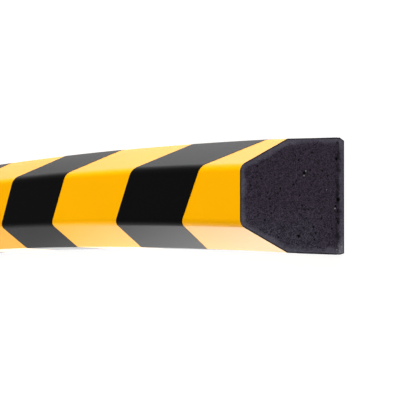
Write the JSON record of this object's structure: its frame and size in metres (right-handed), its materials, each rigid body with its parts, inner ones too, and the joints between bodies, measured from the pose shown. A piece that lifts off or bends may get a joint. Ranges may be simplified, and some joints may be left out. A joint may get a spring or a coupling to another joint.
{
  "type": "impact protection strip",
  "caption": "Flexible foam edge and wall guard with a tapered front, a flat back to glue on, a yellow coating and black diagonal warning stripes, in a gentle bow.",
  "frame": {"origin": "middle of the flat back face, halfway along the strip", "axes": "+X along the strip towards the cut end that the picture shows, +Y across it towards the outside of its bow, +Z out of the back face towards the front"},
  "size_m": [1.0022, 0.0604, 0.0401],
  "materials": {
    "foam": "matt, fine-pored soft foam with a denser moulded skin",
    "coating": "smooth, glossy flexible lacquer",
    "print": "smooth, glossy flexible lacquer"
  },
  "bodies": {
    "root": {"foam_body": "foam", "yellow_coating": "coating", "black_stripes": "print"}
  },
  "joints": []
}
